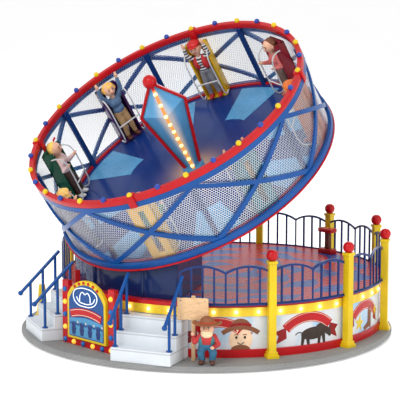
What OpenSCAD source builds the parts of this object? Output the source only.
// Tabletop spinning-drum fairground ride: a tilted cage that turns on a boom
// above a round fenced platform. Millimetres, +Z up.
// Origin: on the platform's vertical axis, at the surface the model stands on.

/* [Platform] */
// Radius of the round deck
deck_r = 124.8; // [124:0.1:126]
// Height of the deck above the ground plate
skirt_h = 40; // [39.8:0.1:40.2]
// Radius of the ground plate
plate_r = 146.5; // [145:0.5:150]
// Thickness of the ground plate
plate_t = 4; // [3.8:0.1:4.2]
// Height of the rubber feet
foot_h = 1; // [0.8:0.1:1.2]
// Number of lamps around the platform
band_lamp_count = 48; // [24:1:48]

/* [Fence] */
// Radius of the circle that the posts stand on
post_circle_r = 129.5; // [129:0.1:130]
// Angle between two posts
bay_angle = 30; // [30]
// Height of the fence at the top of each scallop
fence_peak = 27.5; // [26:0.5:28]
// Height of the centre of each post ball above the deck
post_ball_h = 35.5; // [34:0.5:37]

/* [Entrance] */
// Direction of the entrance and of the drum's low side, from +X
low_side = 223.7; // [223.7]
// Angle between the low side and each flight of stairs
stairs_offset = 23.3; // [22.8:0.1:23.8]
// Width of each flight of stairs
stairs_w = 47.5; // [44:0.5:48]
// Distance of the first riser from the platform's axis
stairs_front_r = 156; // [155:0.5:157]

/* [Boom] */
// Tilt of the drum in the raised position
tilt = 33.6; // [33.6]
// Horizontal distance from the hinge to the drum's axis when the boom lies flat
boom_reach = 79; // [79]
// Height of the drum's floor above the hinge when the boom lies flat
boom_drop = 32.5; // [32.5]
// Height of the hinge above the deck
hinge_h = 14; // [14]

/* [Drum] */
// Inner radius of the drum's mesh wall
mesh_r = 110.4; // [110:0.1:110.6]
// Height of the underside of the top ring above the drum's floor
wall_h = 55.2; // [55:0.1:56]
// Number of balls on the top ring
ring_ball_count = 32; // [32]
// Angle of the first ball from the low side
spin_phase = 6.8; // [6.8]
// Number of rider stations
station_count = 8; // [8]

/* [Gears] */
// Gear module
gear_module = 1; // [1]
// Teeth of the drum gear
drum_teeth = 64; // [64]
// Teeth of a full circle of the lift sector
sector_teeth = 52; // [52]
// Teeth of each pinion
pinion_teeth = 12; // [12]

/* [Hidden] */
$fn = 96;
plate_at = [-13.3, -8];
slab_top = foot_h + plate_t;
deck_top = slab_top + skirt_h;
deck_t = 2.4;
cover_r = 99.8;
cover_t = 2;
screw_circle_r = 97.75;
skirt_t = 1.8;
rim_r = deck_r + 0.8;
kick_r = deck_r + 1.4;
kick_h = 6;
band_r = deck_r + 1;
band_low = deck_top - 9.5;
band_high = deck_top - 3;
post_w = 5.6;
post_h = 31.6;
post_ball_r = 4.3;
first_post = 285.24;
post_count = 9;
fence_r = 128;
fence_t = 1.2;
scallop_rise = 4.7;
step_count = 3;
step_h = skirt_h / 4;
step_d = 10;
baluster_h = 27;
rail_gap = stairs_w / 2 - 2.3;
hinge_z = deck_top + hinge_h;
hub_u = boom_reach * (1 - cos(tilt)) + boom_drop * sin(tilt);
hub_z = hinge_z + boom_reach * sin(tilt) + boom_drop * cos(tilt);
shaft_r = 4;
running_gap = 0.05;
bush_r = 6;
sector_r = gear_module * sector_teeth / 2;
pinion_r = gear_module * pinion_teeth / 2;
drum_gear_r = gear_module * drum_teeth / 2;
lift_pinion_z = hinge_z - sector_r - pinion_r;
spin_pinion_x = -(drum_gear_r + pinion_r);
sector_v = [12, 17];
ring_r = [mesh_r - 1, mesh_r + 3];
ring_h = 4.8;
ring_top = wall_h + ring_h;
ring_ball_r = 2.1;
ring_ball_circle = 111.85;
bay = 45;
tray_w = 19;
tray_h = 50;
tray_back = mesh_r - 0.6;
tray_t = 1.5;
tray_d = 9.8;
column_base_h = 4.5;
shoulder_h = 59.5;
shoulder_r = 19.5;
column_top = 80;
blue = "#1c4fa0";
navy = "#1b2f6b";
red = "#c8202a";
yellow = "#f2cf1f";
sky = "#7db9e3";
brass = "#b8913f";
steel = "#b9bcc0";

// ---------- placing ----------

// Children are drawn with +X towards the low side and Z from the resting surface.
module side_frame(offset = 0) { rotate([0, 0, low_side + offset]) children(); }

// Children are drawn about the drum's axis: +Z along it, +X down the slope, Z = 0 on the floor.
module drum_frame() {
    translate([hub_u * cos(low_side), hub_u * sin(low_side), hub_z])
        rotate([0, tilt, low_side])
            children();
}

// A station's own frame: +X outwards from the drum's axis.
function station_angle(i) = spin_phase + bay / 2 + bay * i;

module at_station(i) { rotate([0, 0, station_angle(i)]) children(); }

// ---------- shapes ----------

module tube(r_in, r_out, low, high) {
    translate([0, 0, low])
        difference() {
            cylinder(r = r_out, h = high - low);
            translate([0, 0, -1]) cylinder(r = r_in, h = high - low + 2);
        }
}

module block(low, high) {
    translate(low) cube(high - low);
}

// A round bar from one point to another.
module bar(a, b, r) {
    v = b - a;
    len = norm(v);
    translate(a)
        rotate([0, acos(v[2] / len), atan2(v[1], v[0])])
            cylinder(r = r, h = len, $fn = 24);
}

// A dome lamp with its flat back on x = 0, facing +X.
module dome(r) {
    rotate([0, 90, 0])
        rotate_extrude($fn = 32)
            intersection() {
                circle(r = r, $fn = 32);
                square(r + 1);
            }
}

// A ball with its underside cut flat.
module seated_ball(r, centre_z, seat_z) {
    difference() {
        translate([0, 0, centre_z]) sphere(r = r, $fn = 32);
        translate([-r - 1, -r - 1, seat_z - 2 * r]) cube([2 * r + 2, 2 * r + 2, 2 * r]);
    }
}

// An outline drawn in distance and height, as thick as w across.
module side_profile(points, w, v = 0) {
    translate([0, v, 0])
        rotate([90, 0, 0])
            linear_extrude(w, center = true)
                polygon(points);
}

// ---------- gears ----------

pressure = 20;
backlash = 0.14;

function inv_deg(a) = tan(a) * 180 / PI - a;

// Half of a tooth's width at radius r, as an angle.
function flank(teeth, r) =
    let (pitch_r = gear_module * teeth / 2,
        base_r = pitch_r * cos(pressure),
        half = 90 / teeth - backlash / pitch_r * 45 / PI * 2,
        at = r > base_r ? acos(base_r / r) : 0)
    half + inv_deg(pressure) - inv_deg(at);

module gear_outline(teeth) {
    pitch_r = gear_module * teeth / 2;
    base_r = pitch_r * cos(pressure);
    root_r = pitch_r - 1.15 * gear_module;
    tip_r = pitch_r + 0.8 * gear_module;
    start_r = max(base_r, root_r);
    radii = [root_r, start_r, (start_r + tip_r) / 2, tip_r];
    polygon([for (k = [0:teeth - 1], side = [-1, 1], i = [0:3])
        let (j = side < 0 ? i : 3 - i,
            a = 360 / teeth * k + side * flank(teeth, radii[j]))
        radii[j] * [cos(a), sin(a)]]);
}

// ---------- base ----------

module ground_plate() {
    color("#8f9390")
        difference() {
            translate([plate_at[0], plate_at[1], foot_h])
                rotate_extrude($fn = 180)
                    polygon([[0, 0], [plate_r - 1, 0], [plate_r, 1], [plate_r, plate_t - 1.6],
                        [plate_r - 1.6, plate_t], [0, plate_t]]);
            translate([0, 0, foot_h - 1]) cylinder(r = cover_r + 0.2, h = 1 + cover_t);
            translate([0, 0, foot_h]) cylinder(r = screw_circle_r - 2.25, h = plate_t + 1);
            for (a = [0:60:300])
                rotate([0, 0, a]) translate([screw_circle_r, 0, foot_h]) cylinder(r = 0.8, h = 3.4, $fn = 24);
        }
}

module bottom_cover() {
    color("#6d706f")
        difference() {
            translate([0, 0, foot_h]) cylinder(r = cover_r, h = cover_t);
            for (a = [0:60:300])
                rotate([0, 0, a]) translate([screw_circle_r, 0, 0]) {
                    cylinder(r = 0.95, h = 10, $fn = 24);
                    cylinder(r = 1.8, h = foot_h + 0.9, $fn = 24);
                }
        }
}

module rubber_feet() {
    color("#2b2b2b") {
        cylinder(r = 8, h = foot_h);
        for (a = [45:90:315])
            translate([plate_at[0] + 136 * cos(a), plate_at[1] + 136 * sin(a), 0])
                cylinder(r = 7, h = foot_h);
    }
}

module cover_screws() {
    color(steel)
        for (a = [0:60:300])
            rotate([0, 0, a]) translate([screw_circle_r, 0, foot_h]) {
                cylinder(r = 1.7, h = 0.8, $fn = 24);
                cylinder(r = 0.8, h = 3.3, $fn = 24);
            }
}

jack_z = slab_top + 16;
switch_x = -24;

module skirt_wall() {
    color("#e9eef2")
        difference() {
            tube(deck_r - skirt_t, deck_r, slab_top, deck_top - deck_t);
            translate([0, 110, jack_z]) rotate([-90, 0, 0]) cylinder(r = 4.4, h = 20);
            block([switch_x - 5, 115, jack_z - 2], [switch_x + 5, 130, jack_z + 2]);
        }
}

module kick_band() {
    color(red) tube(deck_r, kick_r, slab_top, slab_top + kick_h);
}

module light_band() {
    color(yellow) tube(deck_r, band_r, band_low, band_high);
}

module band_lamps() {
    color("#ffe08a")
        for (i = [0:band_lamp_count - 1])
            rotate([0, 0, 360 / band_lamp_count * (i + 0.5)])
                translate([band_r + 0.03, 0, (band_low + band_high) / 2])
                    dome(1.6);
}

module deck_plate() {
    color(blue)
        difference() {
            translate([0, 0, deck_top - deck_t]) cylinder(r = deck_r, h = deck_t);
            side_frame() block([boom_reach - 28, sector_v[0] - 1, deck_top - 5],
                [boom_reach + 28, sector_v[1] + 0.8, deck_top + 5]);
        }
}

module deck_rim() {
    color(red) tube(deck_r, rim_r, band_high, deck_top);
}

// ---------- fence ----------

function post_angle(k) = first_post + bay_angle * k;

module fence_posts() {
    color(yellow)
        for (k = [0:post_count - 1])
            rotate([0, 0, post_angle(k)])
                difference() {
                    translate([post_circle_r, 0, slab_top]) {
                        translate([-post_w / 2, -post_w / 2, 0]) cube([post_w, post_w, skirt_h + post_h]);
                        translate([-4.6, -4.6, 0]) cube([9.2, 9.2, 2.4]);
                        translate([-3.7, -3.7, 0]) cube([7.4, 7.4, 4.6]);
                        translate([-3.5, -3.5, skirt_h + post_h - 2]) cube([7, 7, 2]);
                    }
                    cylinder(r = kick_r + 0.05, h = 60, $fn = 180);
                }
}

module post_balls() {
    color(red)
        for (k = [0:post_count - 1])
            rotate([0, 0, post_angle(k)])
                translate([post_circle_r, 0, 0])
                    seated_ball(post_ball_r, deck_top + post_ball_h, deck_top + post_h);
}

panel_angle = bay_angle / 2;
panel_r = fence_r * cos(panel_angle / 2);
panel_half = fence_r * sin(panel_angle / 2);
bars_per_panel = 4;
bar_w = 1.4;
rail_w = 1.6;
post_gap = 3.1;
scallop_r = (panel_half * panel_half + scallop_rise * scallop_rise) / (2 * scallop_rise);

// Height of the scalloped rail's middle at distance s from the panel's middle.
function rail_height(s) = fence_peak - scallop_r + sqrt(scallop_r * scallop_r - s * s);

module scallop_rail() {
    intersection() {
        translate([0, fence_peak - scallop_r])
            difference() {
                circle(r = scallop_r + rail_w / 2, $fn = 180);
                circle(r = scallop_r - rail_w / 2, $fn = 180);
            }
        translate([-panel_half, 0]) square([2 * panel_half, fence_peak + rail_w]);
    }
}

// One flat panel, half a bay long. It starts clear of a post, or with a bar of its own.
module panel_outline(at_post) {
    start = at_post ? post_gap - panel_half : -panel_half - bar_w / 2;
    intersection() {
        union() {
            scallop_rail();
            translate([start, -1]) square([panel_half - start, 1.8]);
            for (i = [(at_post ? 1 : 0):bars_per_panel - 1]) {
                s = panel_r * tan(panel_angle * (i / bars_per_panel - 0.5));
                translate([s - bar_w / 2, 0]) square([bar_w, rail_height(s)]);
            }
        }
        translate([start, -2]) square([panel_half - start, 40]);
    }
}

module panel(at_post) {
    translate([panel_r - fence_t / 2, 0, deck_top])
        rotate([90, 0, 90])
            linear_extrude(fence_t) panel_outline(at_post);
}

// Two panels that meet at a bar in the middle of the bay, on a curved foot strip.
module fence_bay(k) {
    from_post = k > 0;
    to_post = k < post_count;
    from = from_post ? 1.36 : -0.6;
    to = bay_angle - (to_post ? 1.36 : -0.6);
    rotate([0, 0, post_angle(k - 1)]) {
        rotate([0, 0, panel_angle / 2]) panel(from_post);
        rotate([0, 0, bay_angle - panel_angle / 2]) mirror([0, 1, 0]) panel(to_post);
        rotate([0, 0, panel_angle])
            translate([fence_r, 0, deck_top - 0.5])
                cylinder(r = bar_w / 2, h = rail_height(panel_half) + rail_w / 2 + 0.4, $fn = 32);
        rotate([0, 0, from])
            rotate_extrude(angle = to - from, $fn = 180)
                translate([rim_r, deck_top - 1]) square([fence_r + 0.8 - rim_r, 1]);
    }
}

module fence_panels() {
    color(navy)
        for (k = [0:post_count])
            fence_bay(k);
}

// ---------- entrance ----------

module stairs(offset) {
    back_r = kick_r + 0.1;
    color("#eceff1")
        side_frame(offset)
            difference() {
                side_profile([[118, slab_top], [stairs_front_r, slab_top],
                    for (i = [0:step_count - 1], end = [0, 1])
                        [stairs_front_r - step_d * (i + end), slab_top + step_h * (i + 1)],
                    [118, slab_top + step_h * step_count]], stairs_w);
                cylinder(r = back_r, h = 60, $fn = 180);
            }
}

module handrail(v, top_r) {
    low = [stairs_front_r + 4.5, v, slab_top + baluster_h + step_h - 8];
    high = [top_r, v, low[2] + (low[0] - top_r) * step_h / step_d];
    bar(low, high, 1.3);
    translate(low) sphere(r = 2, $fn = 24);
    for (i = [0:step_count - 1]) {
        x = stairs_front_r - 3.5 - step_d * i;
        z = slab_top + step_h * (i + 1);
        bar([x, v, z], [x, v, low[2] + (low[0] - x) * step_h / step_d], 1.1);
        translate([x, v, z]) cylinder(r = 2.2, h = 0.9, $fn = 24);
    }
}

module front_stairs() { stairs(stairs_offset); }
module side_stairs() { stairs(-stairs_offset); }

module front_handrails() {
    color(blue) side_frame(stairs_offset) {
        handrail(-rail_gap, 130);
        handrail(rail_gap, 129);
    }
}

module side_handrails() {
    color(blue) side_frame(-stairs_offset) {
        handrail(rail_gap, 130);
        handrail(-rail_gap, 129);
    }
}

sign_x = 140;
sign_w = 60;
sign_h = 48;
panel_w = 44;
column_w = 7;

module sign_frame() {
    half = sign_w / 2;
    top = slab_top + sign_h;
    color(red) side_frame() {
        block([sign_x - 3, -half + 1, slab_top], [sign_x - 1, half - 1, top - 4]);
        for (m = [0, 1])
            mirror([0, m, 0]) block([sign_x - 4, half - column_w, slab_top], [sign_x, half, top]);
        block([sign_x - 4, -half + column_w, slab_top], [sign_x, half - column_w, slab_top + 5]);
    }
}

// Outline of an upright panel with a segment arch.
module arch_outline(w, side_h, rise) {
    r = (w * w / 4 + rise * rise) / (2 * rise);
    translate([-w / 2, 0]) square([w, side_h]);
    intersection() {
        translate([0, side_h + rise - r]) circle(r = r, $fn = 120);
        translate([-w / 2, side_h - 1]) square([w, rise + 1]);
    }
}

module sign_panel() {
    color(yellow) side_frame()
        translate([sign_x - 1, 0, slab_top + 5.5])
            rotate([90, 0, 90])
                linear_extrude(2.6)
                    arch_outline(panel_w, 32.5, 13);
}

module sign_lamps() {
    color("#ffd84a") side_frame() {
        for (i = [0:4], m = [0, 1])
            mirror([0, m, 0])
                translate([sign_x + 0.02, sign_w / 2 - column_w / 2, slab_top + 4 + 9.6 * i]) dome(2);
        for (y = [-16.5, -5.5, 5.5, 16.5])
            translate([sign_x + 0.02, y, slab_top + 2.6]) dome(2);
    }
}

board_x = 136.6;

module notice_board() {
    color("#f0dcae") rotate([0, 0, -99.6]) {
        block([board_x - 2, -1.5, slab_top], [board_x, 1.5, slab_top + 47.9]);
        block([board_x, -11.5, slab_top + 30.4], [board_x + 1.6, 11.5, slab_top + 46.9]);
    }
}

module cutout_figure() {
    color("#8a5a3c") translate([-12.8, -144, slab_top]) {
        for (m = [0, 1])
            mirror([m, 0, 0]) translate([3.6, 0, 0]) cylinder(r = 2.9, h = 9, $fn = 32);
        translate([0, 0, 8]) cylinder(r = 7, h = 10.4, $fn = 48);
        translate([0, 0, 23.6]) sphere(r = 6.8, $fn = 48);
        translate([0, 0, 27]) cylinder(r = 9.5, h = 1.4, $fn = 48);
        translate([0, 0, 27]) cylinder(r = 5.5, h = 6.8, $fn = 48);
    }
}

module gate_post() {
    color(red) side_frame(-stairs_offset + 9.35)
        block([128.5, 4.3, deck_top - 10], [132.5, 5.7, deck_top + 14]);
}

module operator_stand() {
    color(red) rotate([0, 0, 41])
        translate([117, 0, deck_top]) {
            block([-4, -7.5, 0], [4, 7.5, 4]);
            block([-2, -3, 4], [2, 1.5, 18]);
            block([-4, -7.5, 18], [4, 7.5, 21.5]);
        }
}

module bollard() {
    color(yellow) translate([-146, 12, slab_top]) {
        cylinder(r = 5.4, h = 2, $fn = 48);
        cylinder(r1 = 4.6, r2 = 2.6, h = 26, $fn = 48);
    }
}

// ---------- boom housing and lift drive ----------

housing_r = 119;
housing_in = 50;
housing_half = 29.5;
housing_flat = 37;
housing_t = 2;

// Plan of the housing, drawn in by off on every side.
module housing_plan(off) {
    near = housing_in + off;
    far = housing_r + 30;
    drop = off / cos(housing_half);
    intersection() {
        circle(r = housing_r - off, $fn = 180);
        polygon([for (p = [[near, -1], [far, -1], [far, 1], [near, 1]])
            [p[0], p[1] * (p[0] * tan(housing_half) - drop)]]);
    }
}

// Space under the housing's roof, drawn down by off.
module under_roof(off) {
    slope_at = housing_r;
    slope_z = 18.4;
    side_profile([[0, -1], [0, housing_flat - off],
        [slope_at - (housing_flat - slope_z) / tan(tilt), housing_flat - off],
        [slope_at + 10, slope_z - 10 * tan(tilt) - off], [slope_at + 10, -1]], 300);
}

module boom_housing() {
    color(blue)
        translate([0, 0, deck_top]) side_frame()
            difference() {
                union() {
                    intersection() {
                        linear_extrude(housing_flat) housing_plan(0);
                        under_roof(0);
                    }
                    for (m = [0, 1])
                        mirror([0, m, 0])
                            rotate([0, 0, 8.6])
                                intersection() {
                                    rotate_extrude(angle = 7.8, $fn = 180)
                                        translate([housing_r - 1, 0]) square([1.8, housing_flat]);
                                    rotate([0, 0, -8.6]) under_roof(1);
                                }
                }
                translate([0, 0, -1])
                    intersection() {
                        linear_extrude(housing_flat) housing_plan(housing_t);
                        under_roof(housing_t - 1);
                    }
                block([40, -12.5, -1], [80, 12.5, 50]);
            }
}

cheek_v = [[18, 23], [-18, -13]];

module hinge_bracket() {
    color(steel)
        side_frame()
            difference() {
                union() {
                    block([62, -24, deck_top], [96, 28, deck_top + 2.5]);
                    for (v = cheek_v) {
                        block([69, v[0], deck_top], [89, v[1], hinge_z]);
                        translate([boom_reach, v[1], hinge_z]) rotate([90, 0, 0]) cylinder(r = 10, h = 5);
                    }
                }
                translate([boom_reach, 50, hinge_z]) rotate([90, 0, 0]) cylinder(r = bush_r, h = 100);
                block([40, -12.8, deck_top - 1], [110, 17.8, deck_top + 1.2]);
                block([40, -12.8, deck_top - 1], [110, 17.8, deck_top + 9]);
            }
}

module hinge_bushes() {
    color(brass)
        side_frame()
            difference() {
                for (m = [[23, 5], [-13, 5], [18, 0.9], [-12.1, 0.9]])
                    translate([boom_reach, m[0], hinge_z])
                        rotate([90, 0, 0])
                            cylinder(r = m[1] > 1 ? bush_r : 8, h = m[1]);
                translate([boom_reach, 50, hinge_z])
                    rotate([90, 0, 0]) cylinder(r = shaft_r + running_gap, h = 100);
            }
}

module lift_motor() {
    color("#9aa0a6")
        side_frame()
            difference() {
                union() {
                    block([boom_reach - 10, 19, lift_pinion_z - 9], [boom_reach + 10, 27, deck_top - deck_t]);
                    translate([boom_reach, 50, lift_pinion_z]) rotate([90, 0, 0]) cylinder(r = 9, h = 23.5);
                }
                translate([boom_reach, 30, lift_pinion_z])
                    rotate([90, 0, 0]) cylinder(r = 2 + running_gap, h = 20, $fn = 32);
            }
}

module control_board() {
    color("#2f7a4a") {
        translate([20, -20, foot_h + cover_t + 5]) cube([56, 38, 1.6]);
        for (x = [23, 73], y = [-17, 15])
            translate([x, y, foot_h + cover_t]) cylinder(r = 2, h = 5, $fn = 24);
        translate([34, -10, foot_h + cover_t + 6.6]) cube([12, 12, 3]);
        translate([58, -4, foot_h + cover_t + 6.6]) cylinder(r = 5, h = 11, $fn = 32);
        translate([28, 6, foot_h + cover_t + 6.6]) cube([20, 6, 6]);
    }
}

module power_jack() {
    color("#26282b")
        translate([0, 0, jack_z])
            rotate([-90, 0, 0]) {
                difference() {
                    union() {
                        translate([0, 0, 111]) cylinder(r = 4.4, h = 14.6);
                        translate([-6.5, -6.5, 108]) cube([13, 13, 14]);
                    }
                    translate([0, 0, 114]) cylinder(r = 2.8, h = 20, $fn = 32);
                }
                translate([0, 0, 113]) cylinder(r = 1, h = 10, $fn = 24);
            }
}

module switch_body() {
    color("#26282b")
        difference() {
            block([switch_x - 10, 109, jack_z - 5], [switch_x + 10, 117.6, jack_z + 5]);
            block([switch_x - 4.8, 111, jack_z - 1.8], [switch_x + 4.8, 120, jack_z + 1.8]);
        }
}

module switch_knob() {
    color("#e8e8e8")
        block([switch_x - 4, 112, jack_z - 1.5], [switch_x - 0.5, 126.5, jack_z + 1.5]);
}

module pinion(thickness) {
    rotate([0, 0, 180 / pinion_teeth]) linear_extrude(thickness) gear_outline(pinion_teeth);
}

module lift_pinion() {
    color(brass)
        side_frame()
            translate([boom_reach, sector_v[1] + 0.3, lift_pinion_z])
                rotate([90, 0, 0]) {
                    pinion(5.6);
                    translate([0, 0, -9]) cylinder(r = 2, h = 15.6, $fn = 32);
                }
}

// ---------- boom ----------

module boom_arm() {
    hinge_at = [boom_reach, -boom_drop];
    color("#3c4a63")
        drum_frame()
            difference() {
                union() {
                    side_profile([[-52, -20], [60, -20], [80, -23.6], [86, -30], [80, -41.4],
                        [60, -33], [40, -30], [-52, -30]], 20);
                    translate([0, 0, -32]) cylinder(r = 12, h = 16);
                    translate([hinge_at[0], 12, hinge_at[1]]) rotate([90, 0, 0]) cylinder(r = 9, h = 24);
                }
                translate([0, 0, -40]) cylinder(r = 7, h = 40);
                translate([spin_pinion_x, 0, -40]) cylinder(r = 3, h = 40);
                translate([hinge_at[0], 20, hinge_at[1]]) rotate([90, 0, 0]) cylinder(r = shaft_r, h = 40);
                for (y = [-6, 6])
                    translate([20, y - 2.5, -40]) cube([22, 5, 40]);
            }
}

module hinge_shaft() {
    color(steel)
        side_frame()
            translate([boom_reach, 24.5, hinge_z]) rotate([90, 0, 0]) cylinder(r = shaft_r, h = 44);
}

module lift_sector() {
    far = 2 * sector_r;
    color(steel)
        side_frame()
            translate([boom_reach, sector_v[1], hinge_z])
                rotate([90, 0, 0])
                    linear_extrude(sector_v[1] - sector_v[0])
                        difference() {
                            union() {
                                intersection() {
                                    gear_outline(sector_teeth);
                                    polygon([[0, 0], for (a = [-142, -107, -72.6]) far * [cos(a), sin(a)]]);
                                }
                                circle(r = 9);
                            }
                            circle(r = shaft_r);
                        }
}

module spindle_bearings() {
    color(brass)
        drum_frame() {
            tube(shaft_r + running_gap, 7, -32, -27);
            tube(shaft_r + running_gap, 7, -21, -16);
            tube(shaft_r + running_gap, 9, -16, -15.2);
        }
}

module spin_motor() {
    color("#9aa0a6")
        drum_frame()
            translate([spin_pinion_x, 0, 0])
                difference() {
                    union() {
                        translate([0, 0, -42]) cylinder(r = 12, h = 12);
                        translate([0, 0, -30]) cylinder(r = 3, h = 10);
                    }
                    translate([0, 0, -32]) cylinder(r = 1.5 + running_gap, h = 20, $fn = 32);
                }
}

module brush_block() {
    color("#26282b")
        drum_frame() {
            block([7.5, -4, -38.5], [16, 4, -32]);
            for (y = [-2.6, 1.4])
                block([6.2, y, -36.5], [7.5, y + 1.2, -35.5]);
        }
}

module spin_pinion() {
    color(brass)
        drum_frame()
            translate([spin_pinion_x, 0, -15.5]) {
                pinion(7);
                translate([0, 0, -14]) cylinder(r = 1.5, h = 14.5, $fn = 32);
            }
}

// ---------- drum ----------

module drum_spindle() {
    color(steel) drum_frame() translate([0, 0, -38]) cylinder(r = shaft_r, h = 42);
}

module drum_gear() {
    color("#d9d4c5")
        drum_frame()
            difference() {
                union() {
                    translate([0, 0, -15]) linear_extrude(6) gear_outline(drum_teeth);
                    translate([0, 0, -9.5]) cylinder(r = 9, h = 6.5);
                }
                translate([0, 0, -20]) cylinder(r = shaft_r, h = 30);
            }
}

module slip_ring() {
    color(brass) drum_frame() tube(shaft_r, 6, -38, -33);
}

module drum_floor() {
    color(blue) drum_frame() tube(shaft_r, mesh_r, -3, 0);
}

module bottom_rim() {
    color(red) drum_frame() tube(mesh_r - 2.4, mesh_r + 4.6, -4.2, -3);
}

module lower_band() {
    color(blue) drum_frame() tube(mesh_r + 0.6, mesh_r + 3.8, -3, 1.6);
}

module upper_band() {
    color(blue) drum_frame() tube(mesh_r + 0.6, mesh_r + 3, wall_h - 4.4, wall_h);
}

module top_ring() {
    color(red) drum_frame() tube(ring_r[0], ring_r[1], wall_h, ring_top);
}

module ring_balls() {
    color(yellow)
        drum_frame()
            for (i = [0:ring_ball_count - 1])
                rotate([0, 0, spin_phase + 360 / ring_ball_count * i])
                    translate([ring_ball_circle, 0, 0])
                        seated_ball(ring_ball_r, ring_top + 1, ring_top);
}

module mesh_wall() {
    color("#c9cfd6") drum_frame() tube(mesh_r, mesh_r + 0.6, -3, wall_h);
}

module wall_posts() {
    color(blue)
        drum_frame()
            for (i = [0:station_count - 1])
                rotate([0, 0, spin_phase + bay * i])
                    block([mesh_r - 2.5, -2.2, 0], [mesh_r - 0.2, 2.2, wall_h]);
}

brace_low = 1.6;
brace_high = wall_h - 4.4;

// One flat bar that climbs across a bay of the drum's wall.
module brace(lean) {
    rise = brace_high - brace_low;
    run = 2 * (mesh_r + 1.5) * sin(bay / 2);
    slope = atan2(rise, run);
    translate([mesh_r - 10, 0, (brace_low + brace_high) / 2])
        rotate([lean * slope, 0, 0])
            translate([0, -run, -1.7]) cube([30, 2 * run, 3.4]);
}

module cross_braces() {
    color(blue)
        drum_frame()
            intersection() {
                tube(mesh_r + 0.65, mesh_r + 2.4, brace_low, brace_high);
                for (i = [0:station_count - 1], lean = [-1, 1])
                    at_station(i)
                        intersection() {
                            brace(lean);
                            rotate([0, 0, -bay / 2 - 0.8])
                                rotate_extrude(angle = bay + 1.6, $fn = 180)
                                    translate([mesh_r, 0]) square([4, wall_h]);
                        }
            }
}

// ---------- column ----------

rib_first = spin_phase + bay;

module column_base() {
    color(sky) drum_frame() difference() {
        cylinder(r = 9, h = column_base_h);
        cylinder(r = shaft_r, h = 4);
    }
}

module column_panels() {
    color(sky)
        drum_frame()
            rotate([0, 0, rib_first]) {
                translate([0, 0, column_base_h])
                    cylinder(r1 = 5, r2 = shoulder_r - 2.3, h = shoulder_h - column_base_h, $fn = 4);
                translate([0, 0, shoulder_h])
                    cylinder(r1 = shoulder_r - 2.3, r2 = 1.5, h = column_top - shoulder_h, $fn = 4);
            }
}

module column_frame() {
    ball_r = 5.4;
    color(red)
        drum_frame() {
            for (k = [0:3])
                rotate([0, 0, rib_first + 90 * k])
                    side_profile([[5.02, column_base_h], [7.6, column_base_h], [shoulder_r, shoulder_h],
                        [4, column_top], [1.55, column_top], [shoulder_r - 2.25, shoulder_h]], 2.4);
            seated_ball(ball_r, column_top + 4.2, column_top);
        }
}

module column_lamps() {
    count = 10;
    color("#ffb347")
        drum_frame()
            rotate([0, 0, rib_first])
                for (i = [0:count - 1]) {
                    z = 8 + 68 * i / (count - 1);
                    r = z < shoulder_h
                        ? 7.6 + (shoulder_r - 7.6) * (z - column_base_h) / (shoulder_h - column_base_h)
                        : shoulder_r + (4 - shoulder_r) * (z - shoulder_h) / (column_top - shoulder_h);
                    lean = z < shoulder_h
                        ? atan2(shoulder_r - 7.6, shoulder_h - column_base_h)
                        : atan2(4 - shoulder_r, column_top - shoulder_h);
                    translate([r + 0.02, 0, z]) rotate([0, lean, 0]) dome(1.5);
                }
}

// ---------- stations ----------

module tray() {
    half = tray_w / 2;
    difference() {
        union() {
            block([tray_back - tray_d, -half, 0], [tray_back, half, tray_t]);
            block([tray_back - tray_t, -half, 0], [tray_back, half, tray_h]);
            block([tray_back - 3.5, -half, tray_h - tray_t], [tray_back, half, tray_h]);
            for (m = [0, 1])
                mirror([0, m, 0]) block([tray_back - tray_d, half - tray_t, 0], [tray_back, half, tray_h]);
        }
        block([tray_back - 3, -2.5, 6], [tray_back + 1, 2.5, tray_h - 6]);
    }
}

module rider_trays() {
    color("#7a2b8a")
        drum_frame()
            for (i = [0:station_count - 1]) at_station(i) tray();
}

guard_r = 0.6;
guard_v = tray_w / 2 + guard_r;
guard_x = [tray_back - 8, tray_back - 14.5];
guard_z = [4.5, 46];

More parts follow.
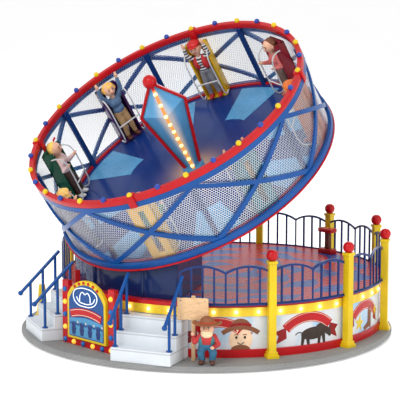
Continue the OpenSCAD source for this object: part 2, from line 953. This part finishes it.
module guard() {
    for (s = [-1, 1]) {
        v = s * guard_v;
        bar([guard_x[0], v, guard_z[1]], [guard_x[1], v, guard_z[1]], guard_r);
        bar([guard_x[1], v, guard_z[1]], [guard_x[1], v, guard_z[0]], guard_r);
        bar([guard_x[1], v, guard_z[0]], [guard_x[0], v, guard_z[0]], guard_r);
        for (z = guard_z)
            translate([guard_x[1], v, z]) sphere(r = guard_r, $fn = 24);
    }
    bar([guard_x[1], -guard_v, 21], [guard_x[1], guard_v, 21], guard_r);
}

module rider_guards() {
    color("#eef0f2")
        drum_frame()
            for (i = [0:station_count - 1]) at_station(i) guard();
}

module rider() {
    translate([tray_back - 9, 0, 0]) {
        for (m = [0, 1])
            mirror([0, m, 0]) {
                translate([1.8, 3, tray_t + 0.1]) cylinder(r = 2.4, h = 23, $fn = 32);
                translate([0, 5.2, 25]) cylinder(r = 1.9, h = 16, $fn = 32);
            }
        translate([0, 0, 22]) cylinder(r = 4.4, h = 19.5, $fn = 48);
        translate([0, 0, 40]) cylinder(r = 2, h = 4, $fn = 32);
        translate([0, 0, 47]) sphere(r = 5.4, $fn = 48);
    }
}

module riders() {
    color("#e6b48c")
        drum_frame()
            for (i = [0:station_count - 1]) at_station(i) rider();
}

// ---------- assembly ----------

ground_plate();
bottom_cover();
rubber_feet();
cover_screws();
skirt_wall();
kick_band();
light_band();
band_lamps();
deck_plate();
deck_rim();
fence_posts();
post_balls();
fence_panels();
front_stairs();
side_stairs();
front_handrails();
side_handrails();
sign_frame();
sign_panel();
sign_lamps();
notice_board();
cutout_figure();
gate_post();
operator_stand();
bollard();
boom_housing();
hinge_bracket();
hinge_bushes();
lift_motor();
control_board();
power_jack();
switch_body();
switch_knob();
lift_pinion();
boom_arm();
hinge_shaft();
lift_sector();
spindle_bearings();
spin_motor();
brush_block();
spin_pinion();
drum_spindle();
drum_gear();
slip_ring();
drum_floor();
bottom_rim();
lower_band();
upper_band();
top_ring();
ring_balls();
mesh_wall();
wall_posts();
cross_braces();
column_base();
column_panels();
column_frame();
column_lamps();
rider_trays();
rider_guards();
riders();
